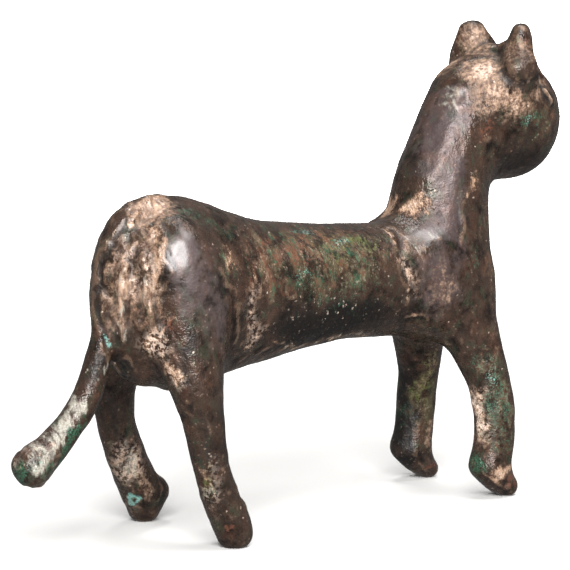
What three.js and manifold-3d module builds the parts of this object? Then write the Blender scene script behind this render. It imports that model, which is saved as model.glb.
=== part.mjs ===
// A small standing feline, cast solid in bronze in one piece: round trunk, high rump, tall neck,
// ball-shaped head with cupped ears, four short legs and a hanging tail with a thick blunt end.
// Millimetres. +X runs towards the head, +Y to the animal's left, +Z up. The figure is drawn about
// a line through the trunk, and moved at the end so that the origin is on the ground below the
// middle of its box.
import * as THREE from 'three';
import { mergeVertices } from 'three/addons/utils/BufferGeometryUtils.js';
import Module from 'manifold-3d';

// Driving dimensions
const MIDDLE_X = 3.9; // the middle of the figure's box, where the origin goes
const MIDDLE_Y = 1.4;
const SOLE_Z = 0.3; // the paws are worn flat at this height
const EAR_TIP_Z = 90.3;
const BACK_Z = 54.5; // lowest point of the saddle
const BELLY_Z = 32;
const RUMP_X = -28;
const RUMP_TOP_Z = 62.2;
const RUMP_BOTTOM_Z = 27.2;
const RUMP_HALF_WIDTH = 10.8; // without the haunches
const HAUNCH_HALF_WIDTH = 14.2;
const TRUNK_HALF_WIDTH = 11;
const NECK_X = 38;
const CHEST_HALF_WIDTH = 10.2;
const HIND_LEG_Y = 12.5;
const FRONT_LEG_Y = 11.2;
const FRONT_LEG_X = 42.6;
const HEAD_X = 55.2;
const HEAD_Z = 71.9;
const HEAD_RADIUS = 11;
const EAR_Y = 6.9;
const TAIL_END_X = -57.3;
const TAIL_END_Z = 17.1;
const TAIL_END_RADIUS = 3.75;
const BRONZE = { color: 0x4a3a30, roughness: 0.42, metalness: 0.85 };

// Distance forms

// An ellipsoid. half holds its half axes, and lean tips it about the Y axis, in degrees.
function mass(at, half, { lean = 0, blend = 3 } = {}) {
  const [ax, ay, az] = half;
  const c = Math.cos(THREE.MathUtils.degToRad(lean));
  const s = Math.sin(THREE.MathUtils.degToRad(lean));
  const distance = (x, y, z) => {
    const dx = x - at[0];
    const dz = z - at[2];
    return roundDistance(c * dx - s * dz, y - at[1], s * dx + c * dz, ax, ay, az);
  };
  return { distance, blend };
}

// About how far a point is from an ellipsoid with half axes a, b and c.
function roundDistance(u, v, w, a, b, c) {
  const near = Math.hypot(u / a, v / b, w / c);
  const slope = Math.hypot(u / (a * a), v / (b * b), w / (c * c));
  return slope > 1e-9 ? (near * (near - 1)) / slope : -Math.min(a, b, c);
}

const FAR = 8; // beyond this, a rough distance is enough

// A rounded form along a smooth line through its stations. A station is [x, y, z, wide, deep]: its
// centre, its half width along side, and its half depth at right angles to side. cap is how far the
// ends bulge, in shares of the smaller half size.
function limb(stations, { side = [0, 1, 0], blend = 3, cap = 1, steps = 28 } = {}) {
  const line = new THREE.CatmullRomCurve3(
    stations.map(([x, y, z]) => new THREE.Vector3(x, y, z)), false, 'centripetal');
  const size = new THREE.CatmullRomCurve3(
    stations.map(([, , , wide, deep]) => new THREE.Vector3(wide, deep, 0)), false, 'centripetal');
  const acrossLine = new THREE.Vector3(...side);
  const rings = [];
  for (let i = 0; i <= steps; i++) {
    const t = i / steps;
    const along = line.getTangent(t);
    const deepWay = along.clone().cross(acrossLine).normalize();
    const wideWay = deepWay.clone().cross(along).normalize();
    const half = size.getPoint(t);
    rings.push({ at: line.getPoint(t), along, deepWay, wideWay, wide: half.x, deep: half.y });
  }
  const widest = Math.max(...rings.map((ring) => Math.max(ring.wide, ring.deep)));
  const outside = new THREE.Box3()
    .setFromPoints(rings.map((ring) => ring.at))
    .expandByScalar(widest * cap);
  const point = new THREE.Vector3();
  const offset = new THREE.Vector3();
  const leg = new THREE.Vector3();
  const mix = THREE.MathUtils.lerp;
  const distance = (x, y, z) => {
    point.set(x, y, z);
    const away = outside.distanceToPoint(point);
    if (away > FAR) return away;
    let best = Infinity;
    let bestRing = 0;
    let bestShare = 0;
    for (let i = 0; i < steps; i++) {
      leg.subVectors(rings[i + 1].at, rings[i].at);
      offset.subVectors(point, rings[i].at);
      const share = THREE.MathUtils.clamp(offset.dot(leg) / leg.lengthSq(), 0, 1);
      const gap = offset.addScaledVector(leg, -share).lengthSq();
      if (gap < best) {
        best = gap;
        bestRing = i;
        bestShare = share;
      }
    }
    const a = rings[bestRing];
    const b = rings[bestRing + 1];
    offset.subVectors(point, leg.lerpVectors(a.at, b.at, bestShare));
    const wide = mix(a.wide, b.wide, bestShare);
    const deep = mix(a.deep, b.deep, bestShare);
    return roundDistance(
      mix(offset.dot(a.wideWay), offset.dot(b.wideWay), bestShare),
      mix(offset.dot(a.deepWay), offset.dot(b.deepWay), bestShare),
      mix(offset.dot(a.along), offset.dot(b.along), bestShare),
      wide, deep, cap * Math.min(wide, deep));
  };
  return { distance, blend };
}

// The lesser of two distances, rounded where they cross, over a width k.
function smoothMin(a, b, k) {
  const near = Math.max(k - Math.abs(a - b), 0) / k;
  return Math.min(a, b) - (near * near * k) / 4;
}

// Parts of the body. side is +1 for the animal's left and -1 for its right.

const trunk = () => {
  const middle = (BACK_Z + BELLY_Z) / 2;
  const deep = (BACK_Z - BELLY_Z) / 2;
  const rumpMiddle = (RUMP_TOP_Z + RUMP_BOTTOM_Z) / 2;
  const rumpDeep = (RUMP_TOP_Z - RUMP_BOTTOM_Z) / 2;
  return limb([
    [RUMP_X - 5, 0, rumpMiddle - 0.4, RUMP_HALF_WIDTH - 2.2, rumpDeep - 1.8],
    [RUMP_X, 0, rumpMiddle, RUMP_HALF_WIDTH, rumpDeep],
    [RUMP_X + 6, 0, rumpMiddle - 0.3, RUMP_HALF_WIDTH + 0.8, rumpDeep - 0.9],
    [RUMP_X + 17, 0, middle + 0.3, TRUNK_HALF_WIDTH + 0.8, deep + 2.4],
    [0, 0, middle + 0.3, TRUNK_HALF_WIDTH + 0.4, deep + 0.6],
    [12, 0, middle, TRUNK_HALF_WIDTH, deep - 0.5],
    [NECK_X - 10, 0, middle - 0.6, TRUNK_HALF_WIDTH - 0.4, deep - 0.4],
  ], { steps: 40, cap: 1.06 });
};

const chestAndNeck = () => limb([
  [NECK_X + 0.3, 0, 38, CHEST_HALF_WIDTH, 9.6],
  [NECK_X + 0.1, 0, 47, CHEST_HALF_WIDTH, 9.8],
  [NECK_X + 0.2, 0, 54, CHEST_HALF_WIDTH - 0.7, 9.9],
  [NECK_X + 0.8, 0, 59, CHEST_HALF_WIDTH - 1.3, 9.6],
  [NECK_X + 2.2, 0, 63.5, CHEST_HALF_WIDTH - 1.7, 8.7],
  [NECK_X + 3.8, 0, 68, 8.2, 7.9],
  [NECK_X + 5.4, 0, 72, 8, 7.4],
  [NECK_X + 7.2, 0, 75.6, 7.6, 7],
], { steps: 32, cap: 0.9, blend: 5.5 });

// A ball, the back of the head, and a short muzzle: bridge, nose, a pad each side, and chin.
const head = () => [
  mass([HEAD_X, 0, HEAD_Z - 0.3], [HEAD_RADIUS - 0.1, HEAD_RADIUS - 0.1, HEAD_RADIUS + 1], { blend: 7 }),
  mass([HEAD_X - 4.2, 0, HEAD_Z + 3.7], [9.2, 9.8, 8.7]),
  mass([HEAD_X + 7.6, 0, HEAD_Z + 2.6], [5, 2.6, 3.4], { lean: 35 }),
  mass([HEAD_X + 11.6, 0, HEAD_Z + 0.4], [1.6, 1.8, 1.3], { blend: 1 }),
  ...[1, -1].map((side) => mass([HEAD_X + 8, side * 2.4, HEAD_Z - 1.8], [3.9, 3.1, 2.6], { blend: 1.6 })),
  mass([HEAD_X + 7.6, 0, HEAD_Z - 5.8], [3.3, 3.2, 2.2], { blend: 1.6 }),
];

const haunch = (side) => mass(
  [RUMP_X - 1, side * (HAUNCH_HALF_WIDTH - 6.8), 44.5], [7.4, 6.8, 14.5], { lean: -7, blend: 4.5 });

const shoulder = (side) => mass(
  [NECK_X - 5, side * 5.9, 43], [13, 6, 10.8], { lean: 6, blend: 2 });

// The plate of each ear faces outwards and forwards.
const EAR_TURN = THREE.MathUtils.degToRad(45);

const ear = (side) => {
  const plate = [Math.sin(EAR_TURN), side * -Math.cos(EAR_TURN), 0];
  return limb([
    [53.8, side * (EAR_Y - 0.7), HEAD_Z + 8, 6, 4.3],
    [53.3, side * (EAR_Y - 0.5), HEAD_Z + 12.2, 5, 3.7],
    [52.9, side * EAR_Y, EAR_TIP_Z - 1.6, 2.6, 1.9],
  ], { side: plate, blend: 1.4, steps: 12, cap: 0.8 });
};

// The right ear's outer rim hangs a little over the cheek.
const rightEarLobe = () => mass([51.5, -8.9, HEAD_Z + 9.5], [4, 3.1, 3.3], { lean: 10, blend: 1.2 });

const earHollow = (side) => {
  const out = 4.2;
  return mass([
    53.6 + out * Math.cos(EAR_TURN),
    side * (EAR_Y - 0.2 + out * Math.sin(EAR_TURN)),
    HEAD_Z + 10.8,
  ], [3.2, 3.2, 5], { blend: 1.2 });
};

const frontLeg = (side) => {
  const y = side * FRONT_LEG_Y;
  const leg = limb([
    [NECK_X + 0.2, side * 5.2, 42, 5, 6.4],
    [NECK_X + 1.4, side * 7, 34, 5.1, 6],
    [FRONT_LEG_X - 1.3, side * (FRONT_LEG_Y - 2.6), 27.2, 4.6, 4.8],
    [FRONT_LEG_X - 0.1, side * (FRONT_LEG_Y - 1.2), 22.5, 4.1, 4.1],
    [FRONT_LEG_X + 0.3, side * (FRONT_LEG_Y - 0.2), 17.5, 4, 4],
    [FRONT_LEG_X + 0.1, y, 12, 3.95, 3.95],
    [FRONT_LEG_X - 0.5, y, 7.6, 3.9, 3.9],
  ]);
  const paw = limb([
    [FRONT_LEG_X - 2.1, y, 6.4, 3.6, 2.8],
    [FRONT_LEG_X + 0.3, y, 4.4, 3.8, 2.9],
    [FRONT_LEG_X + 3, y, 2.2, 3.1, 2.3],
  ], { blend: 1.6, steps: 14 });
  return [leg, paw];
};

const rightHindLeg = () => limb([
  [RUMP_X - 1, -7.2, 43, 5, 6],
  [RUMP_X - 1.6, -9.6, 36, 5.1, 6.2],
  [RUMP_X - 1.7, -HIND_LEG_Y + 0.9, 29.6, 4.5, 5.1],
  [RUMP_X - 1, -HIND_LEG_Y + 0.2, 24.6, 3.8, 3.9],
  [RUMP_X - 0.3, -HIND_LEG_Y, 19.4, 3.45, 3.35],
  [RUMP_X + 1, -HIND_LEG_Y, 13.9, 3.35, 3.2],
  [RUMP_X + 2.6, -HIND_LEG_Y, 9.6, 3.45, 3.3],
  [RUMP_X + 4.6, -HIND_LEG_Y, 5.8, 3.7, 3.5],
  [RUMP_X + 5.8, -HIND_LEG_Y, 3, 3.4, 3.4],
], { steps: 36 });

// The left foot is a blunter stump than the right, set wider, with a knob at its front.
const leftHindLeg = () => [
  limb([
    [RUMP_X - 1, 7.2, 43, 5, 6],
    [RUMP_X - 1.6, 9.6, 36, 5.1, 6.2],
    [RUMP_X - 2.6, HIND_LEG_Y - 0.7, 29.6, 4.5, 4.8],
    [RUMP_X - 1.4, HIND_LEG_Y + 0.4, 20.5, 3.7, 3.55],
    [RUMP_X + 0.4, HIND_LEG_Y + 0.9, 15.8, 3.75, 3.65],
    [RUMP_X + 2.2, HIND_LEG_Y + 1.5, 12.2, 3.85, 3.7],
    [RUMP_X + 4.3, HIND_LEG_Y + 2, 8.6, 4, 3.8],
    [RUMP_X + 6, HIND_LEG_Y + 2.4, 5.4, 4.1, 3.8],
    [RUMP_X + 6.7, HIND_LEG_Y + 2.6, 3, 3.4, 3.3],
  ], { steps: 36 }),
  mass([RUMP_X + 8.6, HIND_LEG_Y + 1.2, 5.8], [2.3, 2.4, 2.7], { blend: 1.5 }),
];

// A low band down the middle of the rump, then free of the body from hock height.
const tail = () => limb([
  [RUMP_X - 1.5, 0, RUMP_TOP_Z - 1.4, 1.6, 1.4],
  [-33, 0, 60.4, 2, 1.9],
  [-36.9, 0, 58.6, 2.2, 1.9],
  [-39.3, 0, 55, 2.3, 1.9],
  [-41.2, 0, 50, 2.3, 1.9],
  [-41.9, 0, 44, 2.3, 1.9],
  [-41.9, 0, 38.5, 2.3, 1.9],
  [-43.2, 0, 32.8, 2.5, 2.4],
  [-45.8, 0, 27.2, 2.7, 2.65],
  [-50.1, 0, 22.4, 2.85, 2.75],
  [-53.7, 0, 19.5, 3.25, 3.15],
  [TAIL_END_X, 0, TAIL_END_Z, TAIL_END_RADIUS, TAIL_END_RADIUS - 0.1],
], { blend: 1.8, steps: 56, cap: 0.85 });

function figureField() {
  const forms = [
    trunk(),
    chestAndNeck(),
    ...head(),
    ...[1, -1].flatMap((side) => [haunch(side), shoulder(side), ...frontLeg(side), ear(side)]),
    rightEarLobe(),
    rightHindLeg(),
    ...leftHindLeg(),
    tail(),
  ];
  const hollows = [earHollow(1), earHollow(-1)];
  return (x, y, z) => {
    const solid = forms.reduce((d, form) => smoothMin(d, form.distance(x, y, z), form.blend), 1e3);
    return hollows.reduce((d, form) => -smoothMin(-d, form.distance(x, y, z), form.blend), solid);
  };
}

// Faces

const wasm = await Module();
wasm.setup();

const CELL = 1.35; // spacing of the points where the field is looked up
const TOLERANCE = 0.18; // how far the faces may stray from the field

function solidOf(field) {
  const box = { min: [-64, -20, -4], max: [72, 20, 93] };
  const solid = wasm.Manifold.levelSet((p) => -field(...p), box, CELL, 0, 0.01);
  return solid.simplify(TOLERANCE);
}

function boxSolid(width, depth, height, x, y, z) {
  const geometry = new THREE.BoxGeometry(width, depth, height).translate(x, y, z);
  geometry.deleteAttribute('normal');
  geometry.deleteAttribute('uv');
  const merged = mergeVertices(geometry, 1e-4);
  return new wasm.Manifold(new wasm.Mesh({
    numProp: 3,
    vertProperties: merged.attributes.position.array,
    triVerts: new Uint32Array(merged.index.array),
  }));
}

function toGeometry(solid) {
  const mesh = solid.getMesh();
  const geometry = new THREE.BufferGeometry()
    .setAttribute('position', new THREE.BufferAttribute(mesh.vertProperties, 3))
    .setIndex(new THREE.BufferAttribute(mesh.triVerts, 1));
  geometry.computeVertexNormals();
  return geometry;
}

const ground = boxSolid(200, 80, 20, 0, 0, SOLE_Z - 10);
const standing = solidOf(figureField()).subtract(ground);
const body = standing.translate([-MIDDLE_X, -MIDDLE_Y, -SOLE_Z]);

const figure = new THREE.Mesh(toGeometry(body), new THREE.MeshStandardMaterial(BRONZE));
figure.name = 'panther_figure';

const part = new THREE.Group();
part.add(figure);
export default part;
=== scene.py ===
"""Looks of a small standing feline, cast solid in bronze and worn by long burial."""

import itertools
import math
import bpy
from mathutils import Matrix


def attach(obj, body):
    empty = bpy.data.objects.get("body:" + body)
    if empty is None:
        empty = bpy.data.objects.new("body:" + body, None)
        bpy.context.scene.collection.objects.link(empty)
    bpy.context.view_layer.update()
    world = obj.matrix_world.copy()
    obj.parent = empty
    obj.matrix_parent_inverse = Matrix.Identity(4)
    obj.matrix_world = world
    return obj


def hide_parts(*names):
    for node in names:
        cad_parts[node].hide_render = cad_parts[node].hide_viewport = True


bl_info = {
    "name": "Bronze Panther Figure",
    "version": (1, 0, 0),
    "blender": (4, 5, 0),
    "location": "3D Viewport > Sidebar > Panther",
    "description": "Surface, patina and studio for a small bronze feline figure",
    "category": "Object",
}

import bmesh
import bpy
import numpy as np
from mathutils import Vector

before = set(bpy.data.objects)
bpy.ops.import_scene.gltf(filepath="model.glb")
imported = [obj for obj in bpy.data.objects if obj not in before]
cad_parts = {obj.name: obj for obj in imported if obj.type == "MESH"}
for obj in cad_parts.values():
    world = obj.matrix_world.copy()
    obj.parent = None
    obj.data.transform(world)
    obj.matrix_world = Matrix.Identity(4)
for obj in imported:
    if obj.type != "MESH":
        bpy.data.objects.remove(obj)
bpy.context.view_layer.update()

MM = 0.001
NODE = "panther_figure"
MIDDLE_Y = -1.4  # the figure's plane of symmetry, in mm
RELIEF_WANDER = (0.9, 3.5)  # how far the relief's edges wander, and over what distance, in mm
PATINA_WANDER = (1.8, 4.5)
SOLE_HEIGHT = 0.02  # lower than this the casting stands on the ground, in mm

IMAGE_PIXELS = 570
PIXEL = 0.1833  # one pixel of the photograph at the figure, in mm
PICTURE_MIDDLE = (-3.9, MIDDLE_Y, 43.5)  # in mm
SENSOR_WIDTH = 36  # in mm
FLOOR_RADIUS = 4.0  # in metres


def srgb(hex_colour):
    """A colour written as sRGB hex, turned to the linear values that Blender works in."""
    parts = [int(hex_colour[i:i + 2], 16) / 255 for i in (1, 3, 5)]
    linear = [c / 12.92 if c <= 0.04045 else ((c + 0.055) / 1.055) ** 2.4 for c in parts]
    return (*linear, 1.0)


# Settings


def colour(name, description, hex_colour):
    """A colour that the user can change. Its default is written as sRGB hex."""
    return bpy.props.FloatVectorProperty(
        name=name, description=description, subtype="COLOR", size=4, min=0, max=1,
        default=srgb(hex_colour))


class PantherCastingSettings(bpy.types.PropertyGroup):
    spacing: bpy.props.FloatProperty(
        name="Surface spacing", description="Size of the faces that carry the relief",
        default=0.46 * MM, min=0.2 * MM, max=2 * MM, unit="LENGTH", precision=5)
    relief: bpy.props.FloatProperty(
        name="Relief", description="Depth of the modelled ridges, steps and creases",
        default=1.0, min=0, max=2, subtype="FACTOR")
    waviness: bpy.props.FloatProperty(
        name="Waviness", description="Height of the soft unevenness left by hand modelling",
        default=0.15 * MM, min=0, max=1 * MM, unit="LENGTH", precision=5)
    crust_height: bpy.props.FloatProperty(
        name="Crust height", description="Height of the lumps of corrosion crust",
        default=0.34 * MM, min=0, max=1 * MM, unit="LENGTH", precision=5)
    pit_depth: bpy.props.FloatProperty(
        name="Pit depth", description="Depth of the round corrosion pits",
        default=0.2 * MM, min=0, max=1 * MM, unit="LENGTH", precision=5)


class PantherPatinaSettings(bpy.types.PropertyGroup):
    bronze: colour("Bronze", "Dark brown patina of the metal", "#3e3028")
    # Also the colour of painted shade in grooves and on sides that face down or away
    deep: colour("Deep brown", "Darkest patina, in hollows and on shaded sides", "#0f0a08")
    lilac: colour("Lilac brown", "Smooth rubbed patina of neck and haunch", "#4b3f3e")
    olive: colour("Olive", "Greenish brown patina of the flanks", "#463d2c")
    earth: colour("Earth", "Brown burial earth under the pale deposit", "#664c3c")
    tan: colour("Tan", "Tin-rich deposit", "#a3856e")
    # Also the colour of painted highlights: glints in the crust, the rump's crest and the eyeballs
    cream: colour("Cream", "Palest part of the deposit", "#d3bdad")
    rust: colour("Copper red", "Red and orange copper oxide", "#6e4433")
    green: colour("Malachite", "Green copper corrosion", "#2e5a43")
    moss: colour("Moss green", "Yellowish green corrosion", "#535e2f")
    turquoise: colour("Turquoise", "Pale blue-green powdery corrosion", "#7fb0a6")
    # Also the colour of painted highlights on tail, ridges, crest and shoulder, and of a painted
    # reflection on the belly rim
    pale: colour("Grey white", "Glossy grey-white corrosion of the tail", "#9f9b8f")


class PantherStageSettings(bpy.types.PropertyGroup):
    floor: colour("Floor", "Pale studio floor", "#dcdbd9")
    key: bpy.props.FloatProperty(
        name="Main softbox", description="Power of the softbox above and behind the camera",
        default=13.0, min=0, unit="POWER")
    top: bpy.props.FloatProperty(
        name="Top softbox", description="Power of the softbox over the figure",
        default=4.0, min=0, unit="POWER")
    rear: bpy.props.FloatProperty(
        name="Background softbox", description="Power of the softbox over the floor behind",
        default=90.0, min=0, unit="POWER")
    surround: bpy.props.FloatProperty(
        name="Surround", description="Brightness of the white room", default=0.23, min=0)
    azimuth: bpy.props.FloatProperty(
        name="Camera azimuth", description="Camera direction, 0 looks along +Y",
        default=math.radians(-40), subtype="ANGLE")
    elevation: bpy.props.FloatProperty(
        name="Camera elevation", description="Camera height above the horizon",
        default=math.radians(8), subtype="ANGLE")
    distance: bpy.props.FloatProperty(
        name="Camera distance", description="From the camera to the middle of the figure",
        default=549.9 * MM, min=0.1, unit="LENGTH", precision=4)


# Places on the surface. Points are in mm in the row frame.

LINE_STEPS = 40
LINE_REACH = 12  # no line marks the surface from further away, in mm
CLOUD_CELLS = 32  # random values along each side of a cloud's table
PIT_CELLS = 24
WANDER_SEED = 20


def rounded(share):
    """0 to 1 with soft ends."""
    share = np.clip(share, 0, 1)
    return share * share * (3 - 2 * share)


def most(*values):
    """The largest of several shares at each vertex, 0 to 1."""
    return np.clip(np.maximum.reduce(values), 0, 1)


def mirrored(points):
    """The same points on the animal's other side."""
    return [(x, 2 * MIDDLE_Y - y, z) for x, y, z in points]


def smooth_line(points):
    """A smooth line through a few points."""
    p = np.array(points, float)
    if len(p) == 2:
        return p[0] + (p[1] - p[0]) * np.linspace(0, 1, LINE_STEPS)[:, None]
    p = np.vstack([2 * p[0] - p[1], p, 2 * p[-1] - p[-2]])
    t = np.linspace(0, len(p) - 3 - 1e-6, LINE_STEPS)
    i = t.astype(int)
    f = (t - i)[:, None]
    a, b, c, d = p[i], p[i + 1], p[i + 2], p[i + 3]
    return 0.5 * (2 * b + (c - a) * f + (2 * a - 5 * b + 4 * c - d) * f ** 2
                  + (3 * b - a - 3 * c + d) * f ** 3)


class Surface:
    """The vertices of a mesh in mm with their normals, and what lies where on them."""

    def __init__(self, mesh):
        self.mesh = mesh
        self.at = np.empty(len(mesh.vertices) * 3)
        mesh.vertices.foreach_get("co", self.at)
        self.at = self.at.reshape(-1, 3) / MM
        pairs = np.empty(len(mesh.edges) * 2, int)
        mesh.edges.foreach_get("vertices", pairs)
        self.a, self.b = pairs.reshape(-1, 2).T
        self.ends = np.concatenate([self.a, self.b])
        self.neighbours = np.maximum(np.bincount(self.ends, minlength=len(self.at)), 1)
        self.refresh()
        self.settle()

    def refresh(self):
        """Writes the places back and reads the new normals."""
        self.mesh.vertices.foreach_set("co", (self.at * MM).ravel())
        self.mesh.update()
        self.normal = np.empty(len(self.at) * 3)
        self.mesh.vertices.foreach_get("normal", self.normal)
        self.normal = self.normal.reshape(-1, 3)

    def mean(self, values):
        """Each vertex's mean over its neighbours."""
        if values.ndim == 2:
            return np.column_stack([self.mean(column) for column in values.T])
        across = np.concatenate([values[self.b], values[self.a]])
        return np.bincount(self.ends, weights=across, minlength=len(values)) / self.neighbours

    def even_out(self, rounds):
        """Smooths the facets away and keeps the size: each pull in is followed by a push out."""
        for _ in range(rounds):
            for pull in (0.5, -0.52):
                self.at += pull * (self.mean(self.at) - self.at)
        self.refresh()

    def raise_by(self, height):
        """Moves the surface out by a height in mm. Nothing goes below the ground."""
        self.at += self.normal * height[:, None]
        self.at[:, 2] = np.maximum(self.at[:, 2], 0)
        self.refresh()

    def settle(self):
        """Measures spots and lines from the vertices as they are."""
        self.place = self.at.copy()

    def wander(self, amount, size):
        """Measures spots and lines from places a little beside, so that their edges wander."""
        clouds = [self.cloud(size, WANDER_SEED + axis) for axis in range(3)]
        self.place = self.at + amount * np.column_stack(clouds)

    def spot(self, at, reach, flat=0.0):
        """1 at a point, falling to 0 at its reach. flat is the share that stays 1."""
        away = np.linalg.norm((self.place - np.array(at)) / np.array(reach), axis=1)
        return rounded((1 - away) / (1 - flat))

    def ring(self, at, radius, width):
        """1 on a small ring round a point, falling away over its width."""
        away = np.linalg.norm(self.place - np.array(at), axis=1)
        return np.exp(-((away - radius) / width) ** 2)

    def along(self, points):
        """Distance from a line, share along it, and distance to the left of it on the surface."""
        line = smooth_line(points)
        low, high = line.min(0) - LINE_REACH, line.max(0) + LINE_REACH
        near = np.where(((self.place > low) & (self.place < high)).all(1))[0]
        p, n = self.place[near], self.normal[near]
        nearest = np.full(len(near), 1e9)
        share_near = np.zeros(len(near))
        side_near = np.zeros(len(near))
        for i in range(len(line) - 1):
            leg = line[i + 1] - line[i]
            t = np.clip((p - line[i]) @ leg / (leg @ leg), 0, 1)
            gap = p - line[i] - t[:, None] * leg
            d = np.linalg.norm(gap, axis=1)
            closer = d < nearest
            left = np.cross(n, leg / np.linalg.norm(leg))
            nearest = np.where(closer, d, nearest)
            share_near = np.where(closer, (i + t) / (len(line) - 1), share_near)
            side_near = np.where(closer, (gap * left).sum(1), side_near)
        away = np.full(len(self.at), 1e9)
        share = np.zeros(len(self.at))
        side = np.zeros(len(self.at))
        away[near], share[near], side[near] = nearest, share_near, side_near
        return away, share, side

    def ridge(self, points, width, taper=0.15):
        """1 on a line, falling away over its width, thinner at its ends."""
        away, share, _ = self.along(points)
        ends = rounded(share / taper) * rounded((1 - share) / taper)
        return np.exp(-(away / width) ** 2) * ends

    def rope(self, points, width):
        """A raised line with a groove on each side, about -0.4 to 1."""
        return 1.5 * self.ridge(points, width) - 0.5 * self.ridge(points, 2.4 * width)

    def step(self, points, edge, fade, taper=0.2):
        """1 just left of a line, 0 on its right, and fading out to the left."""
        away, share, side = self.along(points)
        ends = rounded(share / taper) * rounded((1 - share) / taper)
        return rounded(side / edge + 0.5) * rounded(1 - away / fade) * ends

    def cloud(self, size, seed, octaves=3):
        """Soft random clouds, about -1 to 1. size is in mm, or one size for each axis."""
        table = np.random.default_rng(seed).uniform(-1, 1, (CLOUD_CELLS,) * 3)
        total = np.zeros(len(self.at))
        for level in range(octaves):
            # Each octave is half as large, a little weaker, and starts elsewhere in the table
            p = self.at / size * 2 ** level + 7.3 * level + 100
            cell = np.floor(p).astype(int)
            f = rounded(p - cell)
            for corner in itertools.product((0, 1), repeat=3):
                i, j, k = ((cell + corner) % CLOUD_CELLS).T
                weight = np.prod(np.where(corner, f, 1 - f), axis=1)
                total += weight * table[i, j, k] * 0.55 ** level
        return total

    def pits(self, spacing, radius, share, seed):
        """Round pits, 1 at the bottom. share is how many of the places hold one."""
        random = np.random.default_rng(seed)
        place = random.uniform(0.15, 0.85, (*(PIT_CELLS,) * 3, 3))
        size = random.uniform(0, 1, (PIT_CELLS,) * 3)
        p = self.at / spacing + 100
        cell = np.floor(p).astype(int)
        depth = np.zeros(len(self.at))
        for corner in itertools.product((-1, 0, 1), repeat=3):
            here = cell + corner
            i, j, k = (here % PIT_CELLS).T
            gap = np.linalg.norm(p - here - place[i, j, k], axis=1) * spacing
            wide = radius * (0.5 + size[i, j, k] / share)
            found = (size[i, j, k] < share) * rounded(1 - gap / wide)
            depth = np.maximum(depth, found)
        return depth


# Lines and places that show on the casting

TAIL_BAND = [(-39.6, -3.7, 59.5), (-42.7, -3.9, 56.9), (-44.6, -3.4, 54.8), (-45.9, -2.9, 52.4),
             (-46.9, -2.9, 48.4), (-47.1, -2.9, 43.2), (-47.0, -3.2, 38.3), (-46.5, -3.7, 34.4)]
GREY_RIDGE = [(-43.4, -6.1, 51.6), (-44.0, -6.0, 49.9), (-44.7, -5.8, 45.6), (-44.5, -5.4, 41.1),
              (-43.4, -5.1, 36.9)]
SECOND_RIDGE = [(-41.8, -7.2, 53.7), (-41.8, -8.3, 51.7), (-41.7, -9.3, 48.6), (-41.7, -9.6, 45.2),
                (-41.9, -9.2, 42.0), (-42.1, -7.9, 38.9)]
CRUST_EDGE = [(-36.8, -8.2, 58.6), (-37.9, -8.4, 57.5), (-39.2, -10.8, 53.3), (-39.3, -12.3, 49.3),
              (-40.0, -11.7, 45.6), (-40.2, -11.4, 43.8), (-40.6, -10.6, 40.5)]
CREST = [(-34.6, -1.6, 62.4), (-36.4, -2.5, 61.7), (-39.6, -3.7, 59.5), (-41.7, -4.4, 57.4)]
HAUNCH_FRONT = [(-31.5, -14.0, 51.5), (-29.5, -14.8, 47.8), (-26.1, -13.9, 44.6),
                (-25.8, -13.6, 39.7), (-23.7, -9.7, 32.8)]
FLANK_CREASE = [(-21.7, -13.0, 46.6), (-22.1, -13.2, 44.3), (-22.7, -13.0, 41.5),
                (-20.0, -12.0, 37.2), (-22.5, -10.6, 34.0)]
SHOULDER_CREASE = [(16.8, -2.9, 53.3), (17.8, -5.3, 52.7), (18.1, -7.1, 51.9), (17.2, -9.7, 49.5),
                   (16.1, -11.3, 47.1), (16.7, -12.0, 44.5), (18.0, -12.2, 42.5),
                   (17.7, -11.1, 37.9)]
SHOULDER_LINE = [(16.7, -10.4, 36.8), (21.1, -10.8, 36.4), (24.8, -10.9, 34.9)]
SHOULDER_FOLD = [(21.2, -9.1, 51.2), (21.3, -10.8, 49.3), (24.0, -11.0, 50.1), (27.1, -10.7, 51.5)]
NECK_SIDE = [(36.0, -4.4, 79.0), (33.0, -4.4, 74.0), (31.0, -6.6, 66.0), (29.6, -8.4, 59.0),
             (27.0, -9.8, 53.0), (24.0, -11.0, 49.0)]
NECK_SEAM = [(32.5, -9.9, 58.0), (31.5, -10.4, 54.4), (31.2, -11.3, 51.5), (29.8, -12.3, 48.8)]
BELLY_SEAM = [(-9.0, -10.6, 34.6), (-13.6, -10.3, 34.5), (-17.8, -9.4, 33.2), (-21.5, -8.0, 32.0)]
BELLY_RIM = [(-19.3, -7.2, 30.9), (-11.2, -8.7, 33.1), (-6.3, -8.4, 33.7), (1.4, -7.9, 33.9),
             (9.5, -7.1, 33.7), (19.1, -6.0, 32.8)]
EAR_GROOVE = [(42.2, -8.6, 81.6), (44.3, -10.1, 80.0), (47.0, -12.3, 78.8), (48.8, -12.2, 82.0)]
CROWN_GROOVE = [(39.5, -1.2, 82.5), (42.0, 0.9, 84.1), (45.4, 3.2, 84.8)]
EYE_TOP = [(52.0, -10.0, 78.3), (53.6, -10.4, 77.6), (54.9, -11.0, 75.6), (54.9, -11.5, 73.6)]
EYE_LOW = [(52.0, -10.0, 78.3), (52.0, -11.4, 76.8), (52.9, -12.0, 75.2), (54.9, -11.5, 73.6)]
EYEBALL = [(52.4, -10.6, 77.4), (53.2, -11.4, 75.9), (54.3, -11.5, 74.4)]
MOUTH = [(56.2, -8.6, 68.8), (58.9, -6.2, 67.9), (61.5, -3.2, 68.3), (61.9, -1.4, 68.6),
         (61.5, 0.4, 68.3), (58.9, 3.4, 67.9), (56.2, 5.8, 68.8)]
TAIL_CREASE = [(-61.8, -1.9, 20.9), (-60.3, -2.0, 21.7), (-58.2, -3.5, 22.1), (-57.2, -4.5, 21.3)]
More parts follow.
